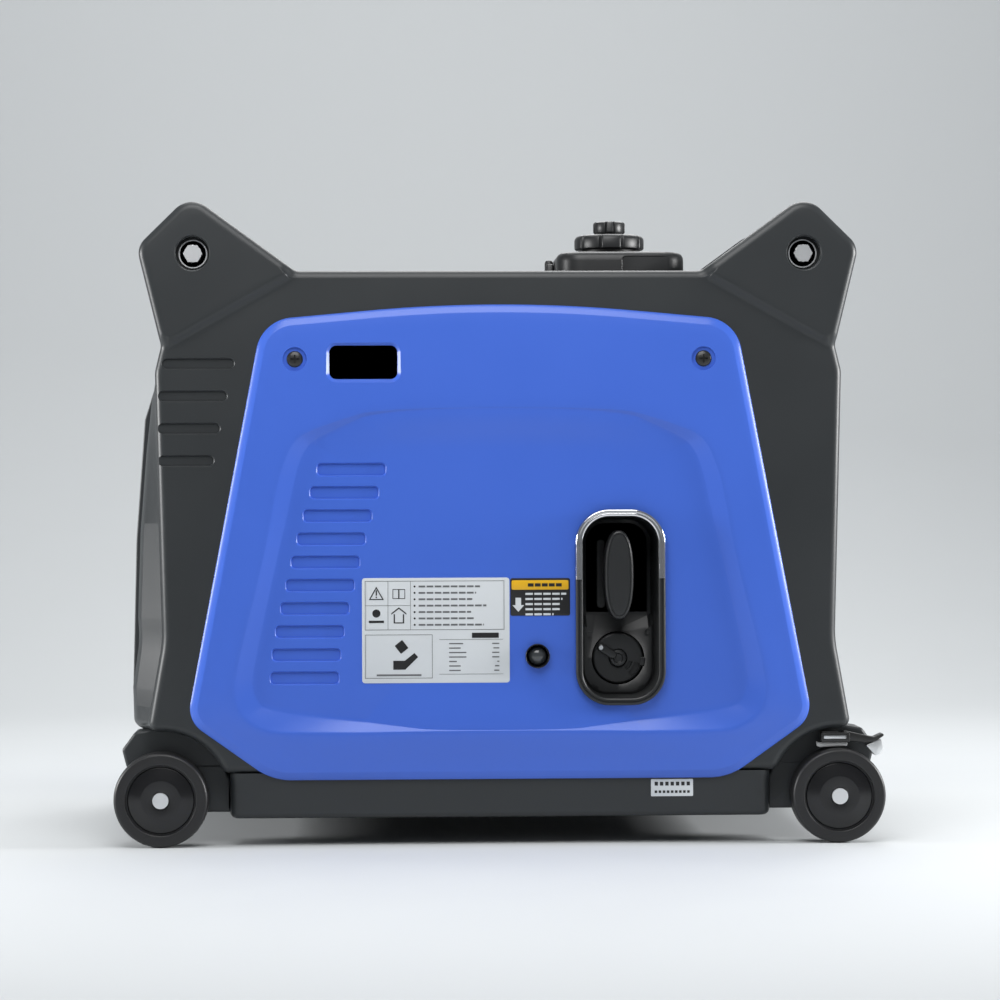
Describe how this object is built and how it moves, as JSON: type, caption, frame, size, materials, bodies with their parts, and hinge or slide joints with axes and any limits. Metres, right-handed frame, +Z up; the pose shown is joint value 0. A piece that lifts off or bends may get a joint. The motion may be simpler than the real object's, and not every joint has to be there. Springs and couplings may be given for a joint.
{
  "type": "portable generator",
  "caption": "Suitcase-style inverter generator with roller wheels, end handles, side service panels, recoil starter and socket end.",
  "frame": {"origin": "on the ground, under the middle of the housing's length and width", "axes": "+Z up, +X towards the control and socket end, -Y towards the starter side"},
  "size_m": [0.6048, 0.432, 0.505],
  "materials": {
    "shell_black": "fine moulded grain, semi-matt",
    "panel_blue": "smooth moulded, satin gloss",
    "trim_black": "smooth moulded, glossy",
    "tyre_black": "smooth hard rubber",
    "wheel_black": "polished moulding",
    "zinc": "bright zinc plate",
    "chrome_trim": "mirror chrome",
    "black_steel": "black coat",
    "grip_rubber": "fine ribbed rubber",
    "label_print": "printed film",
    "bulb_clear": "glossy soft bulb",
    "cast_alloy": "as cast",
    "shaft_steel": "machined",
    "muffler_steel": "heat-dulled plate",
    "copper_core": "wound copper and laminations",
    "tank_plastic": "blow moulded",
    "rope_fibre": "braided cord",
    "socket_black": "dense moulding",
    "lamp_lens": "tinted lens",
    "switch_red": "gloss moulding",
    "button_green": "gloss moulding",
    "mount_rubber": "moulded rubber"
  },
  "bodies": {
    "housing": {"near_side_shell": "shell_black", "far_side_shell": "shell_black", "top_cover": "shell_black", "base_tray": "shell_black", "exhaust_end_cover": "shell_black", "control_end_cover": "shell_black", "near_service_panel": "panel_blue", "far_service_panel": "panel_blue", "left_handle": "grip_rubber", "right_handle": "grip_rubber", "handle_bolts": "zinc", "axle_bolts": "zinc", "panel_screws": "black_steel", "brake_brackets": "black_steel", "starter_recess": "trim_black", "recess_trim": "chrome_trim", "fuel_valve": "cast_alloy", "primer_base": "trim_black", "labels": "label_print", "fuel_tank": "tank_plastic", "filler_collar": "shell_black", "recoil_housing": "black_steel", "engine_block": "cast_alloy", "cylinder_head": "cast_alloy", "spark_plug": "shaft_steel", "stator": "copper_core", "engine_mounts": "mount_rubber", "muffler": "muffler_steel", "inverter_module": "cast_alloy", "battery": "socket_black", "intake_system": "tank_plastic", "control_plate": "shell_black", "power_sockets": "socket_black", "indicator_lamps": "lamp_lens", "ground_terminal": "zinc"},
    "near_left_wheel": {"near_left_wheel": "wheel_black", "near_left_tyre": "tyre_black"},
    "near_right_wheel": {"near_right_wheel": "wheel_black", "near_right_tyre": "tyre_black"},
    "far_left_wheel": {"far_left_wheel": "wheel_black", "far_left_tyre": "tyre_black"},
    "far_right_wheel": {"far_right_wheel": "wheel_black", "far_right_tyre": "tyre_black"},
    "near_brake_lever": {"near_brake_lever": "zinc"},
    "far_brake_lever": {"far_brake_lever": "zinc"},
    "starter_grip": {"starter_grip": "trim_black", "starter_rope": "rope_fibre"},
    "recoil_reel": {"recoil_reel": "tank_plastic"},
    "fuel_valve_knob": {"fuel_valve_knob": "trim_black"},
    "primer_bulb": {"primer_bulb": "bulb_clear"},
    "cap_insert": {"cap_insert": "tank_plastic"},
    "fuel_cap": {"fuel_cap": "trim_black"},
    "vent_knob": {"vent_knob": "trim_black"},
    "engine_switch": {"engine_switch": "switch_red"},
    "economy_switch": {"economy_switch": "trim_black"},
    "start_button": {"start_button": "button_green"},
    "breaker_button": {"breaker_button": "switch_red"},
    "near_outlet_lid": {"near_outlet_lid": "trim_black"},
    "far_outlet_lid": {"far_outlet_lid": "trim_black"},
    "crankshaft": {"crankshaft": "shaft_steel"}
  },
  "joints": [
    {"name": "near_left_roll", "type": "hinge", "parent": "housing", "child": "near_left_wheel", "pos_m": [-0.2654, -0.2, 0.037], "axis": [0, 1, 0], "continuous": true},
    {"name": "near_right_roll", "type": "hinge", "parent": "housing", "child": "near_right_wheel", "pos_m": [0.2654, -0.2, 0.037], "axis": [0, 1, 0], "continuous": true},
    {"name": "far_left_roll", "type": "hinge", "parent": "housing", "child": "far_left_wheel", "pos_m": [-0.2654, 0.2, 0.037], "axis": [0, 1, 0], "continuous": true},
    {"name": "far_right_roll", "type": "hinge", "parent": "housing", "child": "far_right_wheel", "pos_m": [0.2654, 0.2, 0.037], "axis": [0, 1, 0], "continuous": true},
    {"name": "near_brake_press", "type": "hinge", "parent": "housing", "child": "near_brake_lever", "pos_m": [0.2714, -0.195, 0.0835], "axis": [0, 1, 0], "range_deg": [0, 10]},
    {"name": "far_brake_press", "type": "hinge", "parent": "housing", "child": "far_brake_lever", "pos_m": [0.2714, 0.195, 0.0835], "axis": [0, 1, 0], "range_deg": [0, 10]},
    {"name": "starter_pull", "type": "slide", "parent": "housing", "child": "starter_grip", "axis": [0, -1, 0], "range_m": [0, 0.48], "stiffness_N_per_m": 12, "springref_m": -0.25, "deforming": ["starter_rope"]},
    {"name": "reel_turn", "type": "hinge", "parent": "housing", "child": "recoil_reel", "pos_m": [-0.01, -0.142, 0.15], "axis": [0, 1, 0], "range_deg": [0, 598]},
    {"name": "fuel_valve_turn", "type": "hinge", "parent": "housing", "child": "fuel_valve_knob", "pos_m": [0.094, -0.18, 0.1445], "axis": [0, 1, 0], "range_deg": [0, 90]},
    {"name": "primer_press", "type": "slide", "parent": "housing", "child": "primer_bulb", "axis": [0, 1, 0], "range_m": [0, 0.005], "stiffness_N_per_m": 300, "springref_m": -0.002},
    {"name": "cap_lift", "type": "slide", "parent": "housing", "child": "cap_insert", "axis": [0, 0, 1], "range_m": [0, 0.08]},
    {"name": "cap_turn", "type": "hinge", "parent": "cap_insert", "child": "fuel_cap", "pos_m": [0.101, 0, 0.488], "axis": [0, 0, 1], "range_deg": [0, 120]},
    {"name": "vent_turn", "type": "hinge", "parent": "fuel_cap", "child": "vent_knob", "pos_m": [0.101, 0, 0.498], "axis": [0, 0, 1], "range_deg": [0, 90]},
    {"name": "engine_switch_rock", "type": "hinge", "parent": "housing", "child": "engine_switch", "pos_m": [0.2514, -0.065, 0.3], "axis": [0, 1, 0], "range_deg": [0, 18]},
    {"name": "economy_switch_rock", "type": "hinge", "parent": "housing", "child": "economy_switch", "pos_m": [0.2514, 0.045, 0.235], "axis": [0, 1, 0], "range_deg": [0, 18]},
    {"name": "start_press", "type": "slide", "parent": "housing", "child": "start_button", "axis": [-1, 0, 0], "range_m": [0, 0.003], "stiffness_N_per_m": 400, "springref_m": -0.001},
    {"name": "breaker_press", "type": "slide", "parent": "housing", "child": "breaker_button", "axis": [-1, 0, 0], "range_m": [0, 0.003], "stiffness_N_per_m": 400, "springref_m": -0.001},
    {"name": "near_lid_lift", "type": "hinge", "parent": "housing", "child": "near_outlet_lid", "pos_m": [0.2634, -0.03, 0.163], "axis": [0, -1, 0], "range_deg": [0, 100]},
    {"name": "far_lid_lift", "type": "hinge", "parent": "housing", "child": "far_outlet_lid", "pos_m": [0.2634, 0.03, 0.163], "axis": [0, -1, 0], "range_deg": [0, 100]},
    {"name": "crankshaft_spin", "type": "hinge", "parent": "housing", "child": "crankshaft", "pos_m": [-0.01, -0.05, 0.15], "axis": [0, 1, 0], "continuous": true}
  ],
  "couplings": [
    {"joint": "reel_turn", "follows": "starter_pull", "rad_per_m": 21.739}
  ]
}
